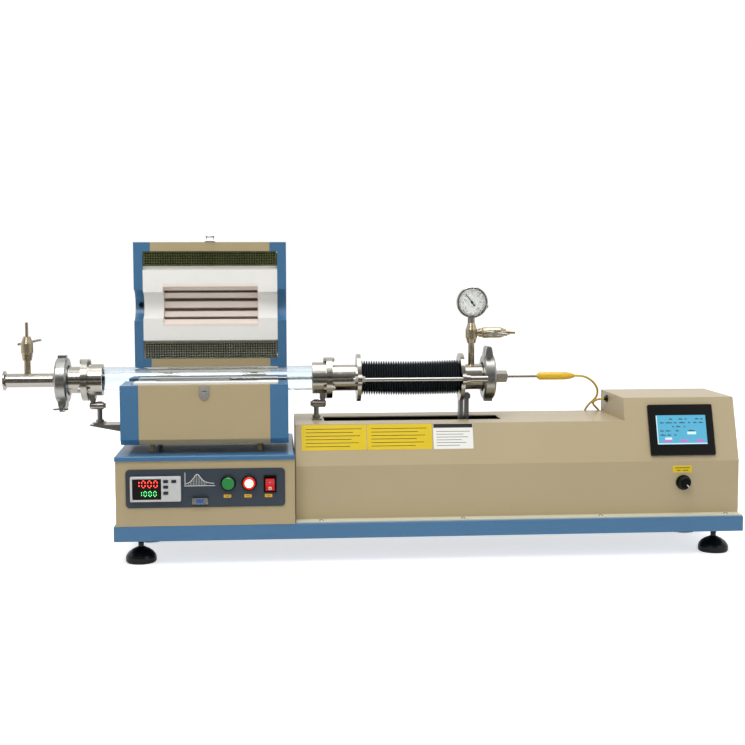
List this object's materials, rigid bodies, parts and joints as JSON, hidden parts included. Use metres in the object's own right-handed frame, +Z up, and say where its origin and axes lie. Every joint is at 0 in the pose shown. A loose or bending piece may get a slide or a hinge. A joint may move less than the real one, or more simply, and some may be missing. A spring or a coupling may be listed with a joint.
{
  "type": "split tube furnace with a motor-driven probe feeder",
  "caption": "Bench tube furnace: a split lid over a quartz tube with clamped flanges, a bellows-sealed probe carriage on a motor slide, and a control box with a panel meter.",
  "frame": {"origin": "centre of the bounding box at the bottom of the feet, with the lid open and the carriage drawn right back", "axes": "+X along the tube from the vacuum port to the touch screen, +Y from the operator to the back, +Z up"},
  "size_m": [1.463, 0.4236, 0.6456],
  "materials": {
    "tray_blue": "satin powder coat",
    "foot_black": "moulded black pad with a steel stud",
    "case_beige": "fine texture paint",
    "plate_blue": "satin blue powder coat",
    "fascia_slate": "matt overlay",
    "meter_silver": "moulded case",
    "key_grey": "soft keys",
    "fitting_dark": "moulded",
    "button_green": "gloss cap",
    "button_red": "gloss cap",
    "rocker_black": "gloss",
    "shell_beige": "fine texture paint",
    "cap_blue": "satin powder coat",
    "fibre_white": "vacuum-formed alumina fibre",
    "coil_brown": "oxidised resistance wire",
    "shield_steel": "perforated sheet",
    "fixing_steel": "bright plated",
    "quartz_clear": "clear fused quartz",
    "flange_steel": "turned stainless steel",
    "bolt_steel": "bright steel",
    "clamp_aluminium": "cast aluminium",
    "valve_brass": "dull brass and steel",
    "bracket_steel": "bent sheet",
    "bellows_steel": "thin-walled pleats",
    "gauge_steel": "polished case",
    "gauge_glass": "clear window",
    "pointer_black": "painted",
    "handle_yellow": "gloss",
    "block_aluminium": "machined",
    "motor_black": "matt",
    "housing_beige": "fine texture paint",
    "screen_black": "moulded bezel",
    "knob_black": "moulded",
    "cable_yellow": "insulated lead"
  },
  "bodies": {
    "bench": {"base_fixings": "fixing_steel", "base_tray": "tray_blue", "bellows": "bellows_steel", "cable_fittings": "fitting_dark", "case_top_plate": "plate_blue", "control_case": "case_beige", "drive_frame": "block_aluminium", "fascia_plate": "fascia_slate", "feed_housing": "housing_beige", "fixed_spool": "flange_steel", "flange_bolts": "bolt_steel", "furnace_lower_case": "shell_beige", "guide_rods": "bolt_steel", "left_clamp": "clamp_aluminium", "left_flange_body": "flange_steel", "left_needle_valve": "valve_brass", "levelling_feet": "foot_black", "lower_end_caps": "cap_blue", "lower_heat_shields": "shield_steel", "lower_heater_coils": "coil_brown", "lower_insulation": "fibre_white", "panel_fittings": "fitting_dark", "panel_meter": "meter_silver", "quartz_tube": "quartz_clear", "signal_cable": "cable_yellow", "stepper_motor": "motor_black", "touch_screen": "screen_black", "tube_end_sleeves": "flange_steel", "tube_supports": "bracket_steel", "vacuum_nipple": "flange_steel"},
    "lid": {"lid_case": "shell_beige", "lid_end_caps": "cap_blue", "lid_insulation": "fibre_white", "lid_heater_coils": "coil_brown", "lid_heat_shields": "shield_steel", "lid_fixings": "fixing_steel"},
    "carriage": {"carriage_spool": "flange_steel", "gauge_tee": "valve_brass", "gauge_case": "gauge_steel", "gauge_lens": "gauge_glass", "right_clamp": "clamp_aluminium", "end_flange": "flange_steel", "probe_rod": "bolt_steel", "cable_handle": "handle_yellow", "carriage_block": "block_aluminium"},
    "latch_lever": {"latch_lever": "fixing_steel"},
    "latch_bail": {"latch_bail": "fixing_steel"},
    "gauge_pointer": {"gauge_pointer": "pointer_black"},
    "right_valve": {"right_valve_handle": "bolt_steel"},
    "left_valve": {"left_valve_handle": "bolt_steel"},
    "wing_nut": {"clamp_wing_nut": "bolt_steel"},
    "speed_knob": {"speed_knob": "knob_black"},
    "green_button": {"green_button": "button_green"},
    "red_button": {"red_button": "button_red"},
    "power_rocker": {"power_rocker": "rocker_black"},
    "key_set": {"key_set": "key_grey"},
    "key_down": {"key_down": "key_grey"},
    "key_up": {"key_up": "key_grey"},
    "key_shift": {"key_shift": "key_grey"},
    "lead_screw": {"lead_screw": "bolt_steel"}
  },
  "joints": [
    {"name": "lid_hinge", "type": "hinge", "parent": "bench", "child": "lid", "pos_m": [-0.32775, 0.0965, 0.3496], "axis": [1, 0, 0], "range_deg": [0, 90]},
    {"name": "latch_lever_hinge", "type": "hinge", "parent": "lid", "child": "latch_lever", "pos_m": [-0.32775, 0.1075, 0.6351], "axis": [1, 0, 0], "range_deg": [0, 150]},
    {"name": "latch_bail_hinge", "type": "hinge", "parent": "latch_lever", "child": "latch_bail", "pos_m": [-0.32775, 0.1145, 0.6376], "axis": [1, 0, 0], "range_deg": [-151, 1]},
    {"name": "carriage_slide", "type": "slide", "parent": "bench", "child": "carriage", "axis": [1, 0, 0], "range_m": [-0.14, 0], "deforming": ["bellows", "signal_cable"]},
    {"name": "screw_turn", "type": "hinge", "parent": "bench", "child": "lead_screw", "pos_m": [-0.0285, -0.048, 0.205], "axis": [1, 0, 0], "range_deg": [-5041, 1]},
    {"name": "pointer_turn", "type": "hinge", "parent": "carriage", "child": "gauge_pointer", "pos_m": [0.2086, -0.054, 0.502], "axis": [0, 1, 0], "range_deg": [-98, 172]},
    {"name": "right_valve_turn", "type": "hinge", "parent": "carriage", "child": "right_valve", "pos_m": [0.2541, -0.068, 0.4396], "axis": [0, 1, 0], "range_deg": [-180, 180]},
    {"name": "left_valve_turn", "type": "hinge", "parent": "bench", "child": "left_valve", "pos_m": [-0.685, -0.028, 0.4246], "axis": [0, 1, 0], "range_deg": [-180, 180]},
    {"name": "wing_nut_turn", "type": "hinge", "parent": "bench", "child": "wing_nut", "pos_m": [-0.6155, -0.074, 0.2946], "axis": [0, 1, 0], "continuous": true},
    {"name": "speed_knob_turn", "type": "hinge", "parent": "bench", "child": "speed_knob", "pos_m": [0.6185, -0.1662, 0.1445], "axis": [0, 1, 0], "range_deg": [-270, 0]},
    {"name": "green_button_press", "type": "slide", "parent": "bench", "child": "green_button", "axis": [0, 1, 0], "range_m": [0, 0.003], "stiffness_N_per_m": 300},
    {"name": "red_button_press", "type": "slide", "parent": "bench", "child": "red_button", "axis": [0, 1, 0], "range_m": [0, 0.003], "stiffness_N_per_m": 300},
    {"name": "rocker_tilt", "type": "hinge", "parent": "bench", "child": "power_rocker", "pos_m": [-0.2035, -0.1975, 0.16], "axis": [1, 0, 0], "range_deg": [-16, 0]},
    {"name": "key_set_press", "type": "slide", "parent": "bench", "child": "key_set", "axis": [0, 1, 0], "range_m": [0, 0.0006], "stiffness_N_per_m": 200},
    {"name": "key_down_press", "type": "slide", "parent": "bench", "child": "key_down", "axis": [0, 1, 0], "range_m": [0, 0.0006], "stiffness_N_per_m": 200},
    {"name": "key_up_press", "type": "slide", "parent": "bench", "child": "key_up", "axis": [0, 1, 0], "range_m": [0, 0.0006], "stiffness_N_per_m": 200},
    {"name": "key_shift_press", "type": "slide", "parent": "bench", "child": "key_shift", "axis": [0, 1, 0], "range_m": [0, 0.0006], "stiffness_N_per_m": 200}
  ],
  "couplings": [
    {"joint": "screw_turn", "follows": "carriage_slide", "rad_per_m": 628.32},
    {"joint": "latch_bail_hinge", "follows": "latch_lever_hinge", "ratio": -1}
  ]
}
